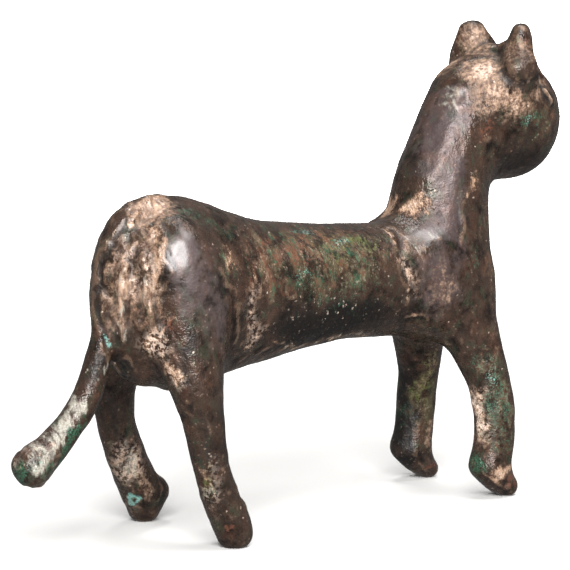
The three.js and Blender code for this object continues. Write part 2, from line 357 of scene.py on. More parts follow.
PAW_EDGES = [[(33.2, -14.3, 5.2), (35.2, -14.3, 4.1), (38.7, -15.4, 2.0), (41.5, -15.0, 1.3)],
             [(35.0, 6.3, 6.4), (36.6, 6.3, 5.0), (38.6, 6.4, 3.2), (41.0, 7.2, 1.6)]]
FRONT_LEG_FLAKES = [(34.4, -11.4, 23.5), (34.6, -11.6, 21.4), (35.0, -12.1, 18.2),
                    (35.3, -14.1, 14.7), (34.8, -12.7, 11.2), (33.8, -14.1, 7.6)]
FRONT_LEG_EDGE = [(38.5, -15.8, 24.0), (39.6, -16.4, 15.3), (39.8, -16.3, 9.4)]
LEFT_LEG_EDGE = [(33.2, 5.2, 25.6), (35.4, 7.6, 17.7), (35.1, 6.8, 8.3), (36.6, 6.3, 5.0)]


def folded(skin):
    """Where the skin of the rump and of the head's back lies in long folds, 0 to 1."""
    return most(
        skin.spot((-41.5, -7.0, 47.0), (7.0, 7.5, 17.0), 0.45),
        0.8 * skin.spot((-37.0, -3.0, 59.5), (8.0, 7.0, 5.5), 0.3),
        0.7 * skin.spot((-41.0, 5.2, 47.0), (7.5, 8.5, 17.0), 0.45),
        0.6 * skin.spot((34.5, -4.5, 76.5), (4.0, 4.0, 5.0), 0.3),
        0.35 * skin.spot((36.0, -13.0, 16.0), (5.0, 5.0, 16.0), 0.3))


def crusted(skin):
    """How much corrosion crust lies on each place, 0 to 1."""
    crust = most(
        0.4 * skin.ridge(SHOULDER_CREASE, 1.6),
        0.5 * skin.ridge(FLANK_CREASE, 2.2),
        # Rump and haunches
        0.7 * skin.spot((-40.5, -10.5, 37.0), 5.0, 0.2),
        0.65 * skin.spot((-39.0, -13.2, 32.6), 3.4),
        0.5 * skin.spot((-41.6, -8.0, 50.0), (6, 6, 10)),
        0.5 * skin.spot((-43.0, 5.0, 44.0), (7, 8, 14)),
        # Tail
        0.7 * skin.spot((-60.2, -1.6, 17.8), 5.6, 0.4),
        # Legs
        skin.ridge(FRONT_LEG_FLAKES, 2.0, 0.4),
        0.55 * skin.ridge([(-33.0, -15.5, 17.0), (-32.0, -15.6, 8.0)], 2.2),
        0.55 * skin.spot((-31.0, 9.6, 11.5), (6, 5, 9), 0.2),
        0.4 * skin.spot((-27.0, 14.0, 6.0), 7),
        0.35 * skin.spot((-28.0, -14.0, 6.0), 8))
    return np.clip(crust + 0.18 * skin.cloud(3.0, seed=5) * (crust > 0.02), 0, 1)


def eye_relief(skin):
    """Both eyes in mm: a long ball between two lids."""
    h = np.zeros(len(skin.at))
    for at_side in (lambda points: points, mirrored):
        h += 0.3 * skin.ridge(at_side(EYE_TOP), 0.42)
        h += 0.22 * skin.ridge(at_side(EYE_LOW), 0.42)
        h += 0.5 * skin.ridge(at_side(EYEBALL), 0.75)
    return h


def modelled_relief(skin):
    """Ridges, steps and creases in mm, as they stand on the casting."""
    h = np.zeros(len(skin.at))
    # Rump: the tail lies on it as a band, with flaking ridges beside it
    h -= 0.45 * skin.ridge(TAIL_BAND, 0.75)
    h -= 0.35 * skin.ridge(mirrored(TAIL_BAND), 0.8)
    h += 0.7 * skin.rope(GREY_RIDGE, 0.75)
    h += 0.7 * skin.rope(SECOND_RIDGE, 0.8)
    h += 0.4 * skin.rope(mirrored(GREY_RIDGE), 0.8)
    h += 0.34 * skin.spot((-43.3, -7.7, 44.6), (3.5, 1.9, 5.5))
    h -= 0.42 * skin.spot((-42.4, -6.9, 50.4), (3, 1.5, 3.0))
    h += 0.3 * skin.step(CRUST_EDGE[::-1], edge=0.7, fade=4.0)
    h += 0.75 * skin.ridge(CREST, 0.9, 0.3)
    h -= 0.45 * skin.spot((-43.1, -2.6, 32.2), (4, 3.0, 4.5))
    h -= 0.35 * skin.spot((-39.8, -11.9, 41.2), (3, 2.2, 3.4))
    # Haunches stand over the flanks
    for side in (HAUNCH_FRONT, mirrored(HAUNCH_FRONT)[::-1]):
        h += 0.45 * skin.step(side, edge=0.9, fade=7.0)
    for side in (HAUNCH_FRONT, mirrored(HAUNCH_FRONT)):
        h -= 0.18 * skin.ridge(side, 0.8)
    h -= 0.28 * skin.ridge(FLANK_CREASE, 0.8)
    h -= 0.35 * skin.spot((-20.6, -13.1, 45.8), (1.1, 3, 1.9))
    h -= 0.3 * skin.spot((-22.2, -13.1, 42.4), (1.0, 3, 1.4))
    h += 0.16 * skin.ridge([(-14.2, -13.2, 44.6), (-13.4, -13.2, 42.9), (-11.9, -13.1, 42.6),
                            (-11.0, -13.1, 43.9)], 0.4)
    h += 0.3 * skin.ridge(BELLY_SEAM, 0.6)
    # Shoulder and neck
    for side, depth in ((SHOULDER_CREASE, 0.42), (mirrored(SHOULDER_CREASE), 0.3)):
        h -= depth * skin.ridge(side, 0.9)
    h += 0.22 * skin.ridge(SHOULDER_FOLD, 0.5)
    h += 0.25 * skin.ridge(SHOULDER_LINE, 0.5)
    h += 0.22 * skin.ridge(NECK_SEAM, 0.55)
    h -= 0.14 * skin.ridge([(x - 1.1, y, z) for x, y, z in NECK_SEAM], 0.5)
    h += 0.18 * skin.ridge([(21.3, -12.4, 44.5), (24.1, -12.8, 44.7)], 0.4)
    h += 0.18 * skin.ridge([(21.6, -12.6, 42.2), (24.1, -12.9, 41.1)], 0.4)
    # Head
    for at_side in (lambda points: points, mirrored):
        h -= 0.5 * skin.ridge(at_side(EAR_GROOVE), 0.8)
        h -= 0.5 * skin.spot(at_side([(61.9, -2.7, 72.1)])[0], 0.9)
    h -= 0.3 * skin.ridge(CROWN_GROOVE, 0.6)
    h += 1.4 * skin.spot((48.6, -2.6, 84.6), (4.2, 4.8, 3.2), 0.3)
    h -= 0.38 * skin.ridge(MOUTH, 0.5)
    h -= 0.25 * skin.ridge([(62.6, -1.4, 71.0), (62.3, -1.4, 68.8)], 0.45)
    # Tail
    h -= 0.34 * skin.ridge(TAIL_CREASE, 0.42)
    h -= 0.22 * skin.ridge([(-58.6, -4.2, 19.6), (-57.6, -4.6, 18.0), (-56.6, -4.3, 17.2)], 0.5)
    # Paws and legs
    for line in PAW_EDGES:
        h += 0.24 * skin.ridge(line, 0.5)
    h += 0.1 * skin.ridge(LEFT_LEG_EDGE, 0.9)
    h += 0.4 * skin.spot((-26.4, -15.6, 12.0), (1.6, 2.5, 3.0))
    h += 0.35 * skin.spot((-25.2, -14.9, 8.0), (1.6, 2.5, 2.0))
    h -= 0.3 * skin.ridge([(-37.0, -15.9, 28.6), (-37.6, -15.4, 27.2), (-36.4, -14.4, 25.6)], 0.6)
    h += 0.25 * skin.ridge([(-24.6, 9.6, 9.6), (-24.4, 9.8, 7.0), (-24.9, 9.6, 3.6)], 0.5)
    h -= 0.3 * skin.spot((-29.0, 10.2, 5.4), (1.4, 1.2, 1.1))
    return h


def even_mesh(node, spacing):
    """A copy of the solid's form with small even faces, in an object of its own."""
    mesh = node.data.copy()
    mesh.materials.clear()
    piece = bpy.data.objects.new("panther_casting", mesh)
    bpy.context.scene.collection.objects.link(piece)
    bm = bmesh.new()
    bm.from_mesh(mesh)
    bmesh.ops.remove_doubles(bm, verts=bm.verts, dist=1e-6)
    bm.to_mesh(mesh)
    bm.free()
    even = piece.modifiers.new("Even faces", "REMESH")
    even.mode = "VOXEL"
    even.voxel_size = spacing
    dense = bpy.data.meshes.new_from_object(
        piece.evaluated_get(bpy.context.evaluated_depsgraph_get()))
    piece.modifiers.clear()
    piece.data = dense
    bpy.data.meshes.remove(mesh)
    dense.name = "panther_casting"
    dense.polygons.foreach_set("use_smooth", np.ones(len(dense.polygons), bool))
    return piece


def build_surface(settings):
    """The casting's own mesh: the solid's form with even faces, smoothed, and then its relief."""
    piece = even_mesh(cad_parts[NODE], settings.spacing)
    skin = Surface(piece.data)
    sole = skin.at[:, 2] < SOLE_HEIGHT
    skin.even_out(rounds=26)
    eyes = eye_relief(skin)
    skin.wander(*RELIEF_WANDER)
    skin.raise_by(settings.relief * (eyes + modelled_relief(skin)))
    skin.even_out(rounds=1)
    skin.wander(*PATINA_WANDER)
    # Waviness, folds, crumbs of crust and pits, as hand modelling and burial left them
    wave, lump, pit = (
        size / MM for size in (settings.waviness, settings.crust_height, settings.pit_depth))
    crust = crusted(skin)
    uneven = np.clip(0.4 + crust + 0.5 * skin.spot((-8, -1.4, 43), (26, 20, 16)), 0, 1)
    uneven *= 1 - skin.spot((-36.0, -13.4, 50.5), (7, 6.5, 11), 0.4)
    h = wave * (skin.cloud(9.0, seed=1) + 0.7 * skin.cloud(2.8, seed=2) * uneven)
    long_folds = 1 - 2.2 * np.abs(skin.cloud((2.4, 3.2, 7.5), seed=8, octaves=2))
    folds = folded(skin) * long_folds
    h += lump * folds
    h += lump * crust * (0.9 - 1.6 * np.abs(skin.cloud(2.2, seed=3)))
    h -= pit * uneven * skin.pits(spacing=2.6, radius=0.62, share=0.4, seed=4)
    h -= 0.6 * pit * crust * skin.pits(spacing=1.9, radius=0.7, share=0.6, seed=6)
    h[sole] = 0
    skin.raise_by(h)
    return piece, skin, crust, folds


# Patina. Each function gives a finish's share at every vertex, 0 to 1.


def deposit_and_painted_highlight(skin, bare, crest, crust):
    """Thick deposit of earth and tin-rich oxide, on the rump, in the creases and on the legs. Its
    cream on the rump's crest is partly a painted highlight.
    """
    return bare * most(
        # Cream on the rump's crest, partly a painted highlight
        1.7 * crest, 0.25 * crust,
        # Neck and shoulders
        skin.spot((25.6, 1.6, 56), (3.6, 5.1, 5.1)),
        skin.spot((25.4, -4.4, 56.6), (3.6, 3.6, 3.6)),
        0.7 * skin.spot((35.6, -10, 60.2), (2.4, 3, 5.4)),
        0.5 * skin.ridge(SHOULDER_CREASE, 1.2),
        0.6 * skin.ridge(SHOULDER_LINE, 0.96),
        0.5 * skin.ridge(mirrored(SHOULDER_CREASE), 1.56),
        # Trunk
        0.3 * skin.spot((-20.5, -12.6, 48), (6, 4.5, 9)),
        0.32 * skin.ridge(FLANK_CREASE, 1.92),
        0.5 * skin.ridge([(-14, -11, 36), (-20, -10.6, 34.4)], 1.2),
        0.3 * skin.spot((0, -11, 47.5), (22.5, 9, 10.5)),
        # Rump and haunches
        0.88 * skin.spot((-40.8, -8.6, 51), (5.4, 6.3, 12)),
        0.75 * skin.spot((-36.4, -4.8, 60.2), (6.3, 5.4, 3.9)),
        0.45 * skin.spot((-43.8, -5.2, 46), (3.9, 4.8, 13.5)),
        skin.spot((-40.9, -10.2, 38.2), (3.9, 4.2, 5.1)),
        0.95 * skin.spot((-39.2, -13, 33.6), (2.55, 2.85, 3.6)),
        0.75 * skin.ridge([(-40.4, -11, 44), (-41, -10, 40)], 1.44),
        0.7 * skin.spot((-26.4, -12.8, 51.6), (4.5, 4.5, 4.2)),
        0.75 * skin.spot((-40, 7.5, 49), (9, 7.5, 15)),
        # Front legs
        1.35 * skin.ridge(FRONT_LEG_FLAKES, 1.92, 0.45),
        1.15 * skin.spot((37.4, -16.4, 5.2), (3.9, 3.6, 3.75)),
        # Hind legs
        0.55 * skin.spot((-30.6, 8.9, 11.6), (4.5, 4.5, 7.5)),
        0.5 * skin.ridge([(-34.6, -15, 17), (-33.7, -14.6, 9)], 1.2),
        0.5 * skin.spot((-27.6, -16.4, 5.8), 1.8))


def film_and_painted_light(skin, bare, lids, eyes):
    """The same deposit as a thin film, most of it on the head and the rump; also a painted
    reflection on the belly rim and painted highlights on eyes and shoulder.
    """
    return (1 - lids) * most(
        # Pale eyeballs, a painted highlight
        1.6 * eyes,
        # Head
        0.95 * skin.spot((41, -6.6, 81), (8.4, 7.5, 7.2)),
        0.95 * skin.spot((41.4, -8.6, 76.2), (9, 6.9, 8.4)),
        0.75 * skin.spot((46, -11.4, 75.6), (8.1, 6, 5.7)),
        0.8 * skin.spot((47.2, 3.2, 87.2), (6.75, 7.5, 6.75)),
        0.5 * skin.spot((46.8, -10.6, 84.5), (6, 6, 9)),
        0.6 * skin.spot((52, -10.6, 78.5), (5.4, 4.5, 5.1)),
        0.8 * skin.spot((41, 4, 81), (9, 9, 9)),
        0.5 * skin.spot((41, 5.8, 76.2), (9, 7.5, 9)),
        0.8 * skin.spot((46.8, -1.6, 84.6), (4.5, 6, 3.9)),
        # Neck and shoulders
        # Tan film on the shoulder, partly a painted highlight
        0.35 * skin.spot((20.4, -11, 48.2), (3.9, 4.5, 6)),
        0.38 * skin.spot((24.6, -12.4, 42), (6, 6, 10.5)),
        # Trunk
        # Painted reflection of the floor along the belly's lower rim
        0.5 * skin.ridge(BELLY_RIM, 1.2),
        0.32 * skin.spot((-18, -11, 49), (9, 7.5, 10.5)),
        # Rump and haunches
        0.6 * skin.spot((-44, -4.8, 47), (4.5, 6, 16.5)),
        bare * 0.75 * skin.spot((-41.4, -8.4, 49), (5.1, 6, 13.5)),
        bare * 0.8 * skin.spot((-39.6, -7.6, 56.6), (3.9, 4.5, 4.5)),
        0.95 * skin.spot((-36, -4.6, 60.2), (7.5, 6.6, 5.1)),
        0.4 * skin.spot((-40, -12, 43), (4.5, 4.5, 7.5)),
        # Front legs
        0.55 * skin.spot((39.2, 6.2, 9), (3.6, 4.5, 7.5)),
        0.55 * skin.spot((37.3, 3.8, 24), (3.6, 4.5, 10.5)),
        0.5 * skin.spot((36.2, 6.4, 9), (2.1, 2.1, 6)),
        0.45 * skin.ridge(FRONT_LEG_EDGE, 1.32),
        0.3 * skin.spot((37.5, 7.5, 20), (4.5, 6, 18)),
        0.35 * skin.spot((37.5, -13.5, 26), (4.5, 4.5, 18)),
        # Hind legs
        0.6 * skin.spot((-31.6, 9, 11), (6, 4.5, 7.5)),
        0.55 * skin.spot((-27.4, 9.4, 7.6), (3.9, 3.9, 5.4)))


def copper_red(skin):
    """Red and orange copper oxide."""
    return most(
        # Head
        0.6 * skin.spot((38, -9.4, 69.6), (3.9, 3.3, 2.7)),
        0.45 * skin.spot((45.8, -11.5, 77.4), (3, 3, 2.4)),
        0.4 * skin.spot((48, -10, 85.5), (3.6, 4.5, 4.5)),
        0.45 * skin.spot((44.5, 2.8, 86.8), (3.6, 4.5, 4.5)),
        # Trunk
        0.4 * skin.spot((-4, -9.6, 50), (27, 7.5, 6)),
        # Rump and haunches
        0.55 * skin.spot((-43.3, -7.7, 44), (3.6, 2.7, 7.5)),
        0.6 * skin.spot((-39, -12.7, 40.9), (2.7, 3.6, 4.2)),
        0.4 * skin.spot((-43.4, -4.4, 31), (3.3, 3.3, 3.3)),
        # Tail
        0.3 * skin.spot((-48, -3.6, 29), (4.5, 3, 6)),
        # Front legs
        0.25 * skin.spot((36, -14.2, 25), (4.5, 4.5, 18)),
        0.8 * skin.ridge([(35.1, -13.3, 20.6), (35.9, -14.7, 15), (35.6, -14.8, 12.6),
                          (34.8, -14.3, 9.6)], 0.84),
        0.75 * skin.spot((40.2, -15, 2), (3.9, 4.5, 2.4)),
        0.7 * skin.spot((40.2, 6.8, 2.2), (3, 3.6, 2.4)),
        # Hind legs
        0.7 * skin.spot((-28.3, -17.1, 4), (1.65, 1.65, 1.35)))


def malachite(skin):
    """Green corrosion, most of it on the tail, the right front leg and the flanks."""
    return most(
        # Head
        0.5 * skin.spot((48.6, -11.8, 71.4), (6.75, 4.5, 6)),
        0.4 * skin.spot((43.4, -10.3, 78.3), (2.4, 2.4, 2.1)),
        0.5 * skin.spot((47.3, -10.2, 86), (2.1, 2.7, 4.5)),
        0.5 * skin.spot((48, 8, 71), (12, 7.5, 12)),
        # Neck and shoulders
        0.35 * skin.spot((33.5, -11.4, 47), (3, 4.5, 4.5)),
        # Trunk
        0.33 * skin.spot((-2, -11, 45), (28.5, 9, 13.5)),
        0.6 * skin.spot((-9, -12.4, 46.5), (3.3, 3, 4.8)),
        0.5 * skin.spot((2, 7, 46), (39, 12, 15)),
        # Rump and haunches
        0.5 * skin.spot((-29.5, -9, 58.6), (7.5, 6, 3.6)),
        0.5 * skin.spot((-28, -13, 51), (3, 4.5, 4.5)),
        # Tail
        0.95 * skin.ridge([(-50.4, -4.2, 26.2), (-52.6, -4.5, 23.2), (-55.7, -4.9, 19.2),
                           (-58.5, -4.6, 16)], 1.32),
        0.6 * skin.ridge([(-54, -1.6, 27), (-58.5, -1.6, 23.4)], 1.08),
        1.1 * skin.spot((-64.2, -1.8, 16.4), (2.7, 4.5, 4.5)),
        0.9 * skin.spot((-60.4, -4.8, 16.6), (3.6, 2.4, 2.7)),
        0.7 * skin.spot((-61.4, -4.5, 16.4), (2.4, 2.1, 2.55)),
        # Front legs
        0.6 * skin.spot((37.2, -14.8, 19), (4.8, 6, 16.5)),
        0.5 * skin.ridge(FRONT_LEG_EDGE, 1.32),
        0.85 * skin.spot((33.8, -13.2, 6.4), (3.3, 4.5, 3.6)),
        0.5 * skin.spot((34.6, -13, 27), (4.5, 4.5, 4.5)),
        0.4 * skin.spot((37.5, 11, 14), (9, 9, 21)),
        # Hind legs
        0.4 * skin.ridge([(-34.8, -15.4, 26), (-35, -15.4, 20), (-34.4, -15, 14)], 1.08),
        0.6 * skin.spot((-32.8, -15.2, 10.6), (1.8, 3, 4.5)),
        0.3 * skin.spot((-31, 9, 10), (6, 6, 7.5)))


def moss(skin):
    """Yellowish green corrosion, behind the shoulder and on two legs."""
    return most(
        # Trunk
        0.62 * skin.spot((8, -8.4, 50.8), (8.25, 5.4, 3.9)),
        0.45 * skin.spot((2, -9.6, 49.6), (15, 6, 6)),
        0.4 * skin.spot((8, 5.6, 50.8), (9, 6, 6)),
        # Front legs
        0.6 * skin.spot((37.4, 4.4, 22), (4.5, 6, 15)),
        # Hind legs
        0.75 * skin.spot((-33.8, -15.2, 13), (1.95, 3, 6.6)))


def turquoise(skin):
    """Pale blue-green powder in small places."""
    return most(
        # Head
        0.4 * skin.spot((48.6, -12, 71.4), (2.4, 3, 3)),
        # Trunk
        0.5 * skin.spot((-9.4, -12.4, 47.2), (1.8, 2.4, 3.6)),
        0.45 * skin.spot((3.8, -8.9, 51), (4.5, 3, 2.1)),
        0.4 * skin.spot((-3.5, -6.6, 53.6), (7.5, 3, 2.4)),
        # Tail
        1.3 * skin.ridge([(-46.7, -3.3, 40), (-46.9, -3.4, 38), (-47, -3.5, 35)],
                         0.54, 0.3),
        0.5 * skin.spot((-62.4, -3, 19), (2.7, 2.4, 2.4)),
        # Front legs
        0.4 * skin.spot((36.5, -14.6, 22.8), 2.4),
        # Hind legs
        1.1 * skin.ring((-28.9, 10.5, 5), 0.6, 0.3))


def grey_white_and_painted_light(skin, ridges, crest):
    """The tail's grey-white skin, and flakes of it elsewhere, with painted highlights on the tail,
    rump ridges, crest and shoulder, and a painted reflection on the belly rim.
    """
    return most(
        # Grey-white on the rump's ridges and crest, partly painted highlight
        0.6 * ridges, 0.5 * crest,
        # Head
        0.5 * skin.spot((34.4, -4.4, 76.4), (3.9, 3.9, 5.7)),
        # Neck and shoulders
        # Painted highlight on the shoulder
        0.36 * skin.spot((23.8, -9.8, 51.6), (4.5, 3.9, 4.5)),
        0.36 * skin.spot((20.8, -10.8, 48.8), (3.9, 4.2, 5.1)),
        # Trunk
        # Painted reflection of the floor along the belly's lower rim
        0.45 * skin.ridge(BELLY_RIM, 1.08),
        # Tail
        # Grey-white skin, and a painted highlight along the tail's lit side
        0.8 * skin.ridge([(-49.8, -3.1, 29.3), (-53.3, -3.5, 25.6), (-56.4, -3.8, 22.6),
                          (-59, -3.2, 20.8)], 2.52),
        0.9 * skin.spot((-59.8, -3, 20.6), (3.6, 3.6, 2.85)),
        0.45 * skin.ridge([(-45.6, -3.4, 33), (-49, -3.2, 30.2)], 1.08),
        0.95 * skin.spot((-61.6, -3.8, 18.6), (5.1, 4.5, 3.9)),
        1.1 * skin.spot((-63.2, -3.6, 18.6), (1.8, 2.1, 1.8)),
        1.2 * skin.spot((-59.8, -4, 20.2), (2.7, 2.4, 2.25)),
        # Hind legs
        0.6 * skin.spot((-31, 8.8, 11.5), (4.5, 4.5, 6)),
        0.3 * skin.spot((-32.4, 8.4, 14), (6, 4.5, 9)))


def lilac_skin(skin):
    """Smooth rubbed skin along the neck, on the shoulder and on the haunch."""
    return most(
        # Neck and shoulders
        1.1 * skin.ridge(NECK_SIDE, 4.56, 0.08),
        skin.spot((24, -12.2, 44), (9, 7.5, 13.5)),
        0.8 * skin.spot((28.5, -11.6, 47.5), (6, 6, 12)),
        0.7 * skin.ridge(mirrored([(33, -4.4, 74), (30, -8, 60), (24, -11, 49)]), 5.28),
        # Rump and haunches
        1.2 * skin.spot((-36.6, -12.9, 52), (6, 6, 9)),
        0.9 * skin.spot((-34.5, -13.4, 48), (7.5, 7.5, 12)),
        0.7 * skin.spot((-31.5, -14.8, 42), (7.5, 7.5, 10.5)),
        0.6 * skin.spot((-44.3, -5.2, 42), (4.5, 6, 12)),
        0.7 * skin.spot((-33.5, 11.5, 46), (10.5, 9, 15)))


def polish(skin):
    """Where rubbing has polished the bronze."""
    return most(
        # Head
        0.6 * skin.spot((34.6, -4.4, 76.6), (4.5, 4.5, 6)),
        # Neck and shoulders
        0.9 * skin.spot((23.6, -9.8, 51), (5.4, 4.5, 5.4)),
        # Rump and haunches
        1.3 * skin.spot((-36.8, -13, 52.4), (5.4, 6, 7.5)),
        1.1 * skin.spot((-33, -14.4, 49), (6, 6, 9)),
        0.5 * skin.spot((-44.3, -5.2, 44), (4.5, 4.5, 12)),
        0.6 * skin.spot((-32, -15.6, 30), (6, 4.5, 15)),
        0.8 * skin.spot((-32.5, -15, 43), (7.5, 6, 12)),
        # Front legs
        0.8 * skin.ridge(FRONT_LEG_FLAKES, 1.56, 0.4),
        0.6 * skin.spot((39, -15.8, 3), (3.9, 3.3, 2.7)),
        0.6 * skin.spot((39, 6.8, 3.4), (3.9, 3.3, 2.7)))


def flecks(skin):
    """Where fine glints of cream and green lie close together."""
    return most(
        # Trunk
        skin.spot((-3, -12.4, 40.6), (28.5, 7.5, 4.8)),
        0.55 * skin.spot((-3, -11, 46.5), (31.5, 10.5, 9)),
        0.5 * skin.spot((-3, 9, 43), (28.5, 9, 9)),
        # Hind legs
        0.8 * skin.spot((-33.6, -15.4, 12), (3, 3.6, 10.5)),
        0.6 * skin.spot((-30.6, 9.4, 9), (4.5, 4.5, 7.5)))


def mottle(skin):
    """Where grains of red oxide, green, earth and dark oxide lie closest."""
    return most(
        # Head
        0.7 * skin.spot((50, -9, 73), (10.5, 9, 10.5)),
        # Neck and shoulders
        0.5 * skin.spot((37, -10, 46), (6, 9, 24)),
        # Trunk
        1.2 * skin.spot((-5, -9, 49), (34.5, 13.5, 12)),
        0.8 * skin.spot((0, 8, 46), (30, 12, 15)),
        # Front legs
        0.8 * skin.spot((37, -14, 18), (6, 7.5, 18)),
        0.5 * skin.spot((37.5, 11, 14), (9, 7.5, 21)))


def olive_skin(skin):
    """Greenish brown skin of flanks, chest, cheeks and front legs."""
    return most(
        # Head
        0.6 * skin.spot((50, -9, 72), (10.5, 9, 12)),
        # Neck and shoulders
        0.5 * skin.spot((37, -10, 46), (6, 9, 24)),
        # Trunk
        skin.spot((-4, -9, 49), (30, 12, 12)),
        0.7 * skin.spot((0, 8, 46), (30, 12, 15)),
        # Front legs
        0.8 * skin.spot((37.5, 7.5, 17), (5.1, 6, 18)),
        0.7 * skin.spot((37, -14, 18), (6, 7.5, 18)))


def dark_patina_and_painted_shade(skin, lids):
    """Darkest patina, and painted shade in grooves and on the sides that face down or away."""
    return most(
        1.2 * lids,
        # Head
        0.9 * skin.spot((49.5, -9, 63.5), (12, 9, 9)),
        # Painted shade in the groove under the ear
        0.9 * skin.ridge(EAR_GROOVE, 1.56),
        # Neck and shoulders
        0.7 * skin.spot((27.6, -3.2, 62.5), (3.6, 5.1, 12)),
        0.4 * skin.spot((36, -9.6, 50), (3, 6, 12)),
        # Trunk
        # Painted shade on the trunk's underside
        1.4 * skin.spot((0, -11.5, 37), (30, 9, 7.8)),
        # Rump and haunches
        0.9 * skin.spot((-42.6, -3, 31.4), (6, 6, 6.75)),
        0.8 * skin.spot((-36.2, -14.6, 36.5), (3.9, 3.9, 5.1)),
        # Painted shade along the tail band and on the rump's side turned from the light
        0.5 * skin.ridge(TAIL_BAND, 1.68),
        0.7 * skin.spot((-46.6, -1.6, 47), (2.4, 3.6, 18)),
        0.5 * skin.spot((-24, -12, 36), (4.5, 9, 12)),
        # Tail
        0.7 * skin.ridge([(-46.5, -2, 36), (-49.5, -2, 28.5)], 2.88),
        0.6 * skin.ridge(TAIL_CREASE, 0.6),
        # Front legs
        # Painted shade on the left front leg's rear side
        1.8 * skin.spot((34, 8.7, 12), (3.6, 6, 21)),
        0.9 * skin.spot((35.6, 7.2, 10), (1.8, 2.1, 7.5)),
        # Hind legs
        0.7 * skin.spot((-35.6, 9.8, 25), (6.6, 9, 13.5)),
        0.8 * skin.spot((-30.5, -15, 20), (7.5, 9, 19.5)),
        0.6 * skin.spot((-26, -14, 5), (7.5, 9, 7.5)),
        0.6 * skin.spot((-26, 12, 7), (7.5, 9, 7.5)),
        0.7 * skin.spot((-35.1, -15.3, 18.6), 2.4))


def standing_out(skin, form_rounds=5, usual_rounds=14, full=0.05):
    """How far each vertex stands out from the form round it: 1 is full, in mm, and -1 a hollow."""
    blurred = skin.at
    for _ in range(form_rounds):
        blurred = skin.mean(blurred)
    out = ((skin.at - blurred) * skin.normal).sum(1)
    usual = out
    for _ in range(usual_rounds):
        usual = skin.mean(usual)
    return (out - usual) / full


def patina_shares(skin, crust, folds):
    """The share of each finish at every vertex. What lies on a form is measured as the form is."""
    out = standing_out(skin)
    skin.settle()
    eyes = most(*(skin.ridge(ball, 0.95) for ball in (EYEBALL, mirrored(EYEBALL))))
    lids = most(*(skin.ridge(lid, 0.55) for lid in (
        EYE_TOP, EYE_LOW, mirrored(EYE_TOP), mirrored(EYE_LOW))))
    skin.wander(*RELIEF_WANDER)
    ridges = most(skin.ridge(GREY_RIDGE, 0.8), skin.ridge(SECOND_RIDGE, 0.8))
    crest = skin.ridge(CREST, 0.6)
    beside = skin.step(CRUST_EDGE, edge=1.0, fade=14.0, taper=0.05)
    skin.wander(*PATINA_WANDER)
    # The smooth haunch beside the crust, and the leg under it, are bare of deposit
    bare = 1 - most(
        beside,
        0.9 * skin.spot((-35.2, -13.8, 49), (5.4, 6, 10.5)),
        0.9 * skin.spot((-33.5, -15.4, 42), (6.9, 6, 10.5)),
        0.9 * skin.spot((-32, -16.6, 28), (6.9, 6, 12)),
        0.8 * skin.spot((-39.4, -12.7, 41.2), (2.1, 2.7, 3)))
    return {
        "hollow": np.clip(-out, 0, 1),
        "edge": np.clip(out, 0, 1),
        "folds": most(folds, ridges),
        "folded": folded(skin),
        "crust": crust ** 2,
        "deposit_and_painted_highlight": deposit_and_painted_highlight(skin, bare, crest, crust),
        "film_and_painted_light": film_and_painted_light(skin, bare, lids, eyes),
        "rust": copper_red(skin),
        "green": malachite(skin),
        "moss": moss(skin),
        "turquoise": turquoise(skin),
        "pale": grey_white_and_painted_light(skin, ridges, crest),
        "lilac": lilac_skin(skin),
        "gloss": polish(skin),
        "flecked": flecks(skin),
        "mottled": mottle(skin),
        "olive": olive_skin(skin),
        "deep": dark_patina_and_painted_shade(skin, lids),
    }


def paint(mesh, shares):
    """Stores the shares on the mesh, where the material reads them."""
    for name, share in shares.items():
        layer = mesh.attributes.new("share_" + name, "FLOAT", "POINT")
        layer.data.foreach_set("value", share.astype(np.float32))


# Material


def add(tree, kind, inputs=(), **settings):
    """Adds a node. inputs maps a socket to a value or to another node's output."""
    node = tree.nodes.new("ShaderNode" + kind)
    for name, value in settings.items():
        setattr(node, name, value)
    for name, value in dict(inputs).items():
        if isinstance(value, bpy.types.NodeSocket):
            tree.links.new(value, node.inputs[name])
        else:
            node.inputs[name].default_value = value
    return node


def new_material(name):
    """A material without nodes, and its node tree."""
    material = bpy.data.materials.new(name)
    material.use_nodes = True
    material.node_tree.nodes.clear()
    return material, material.node_tree


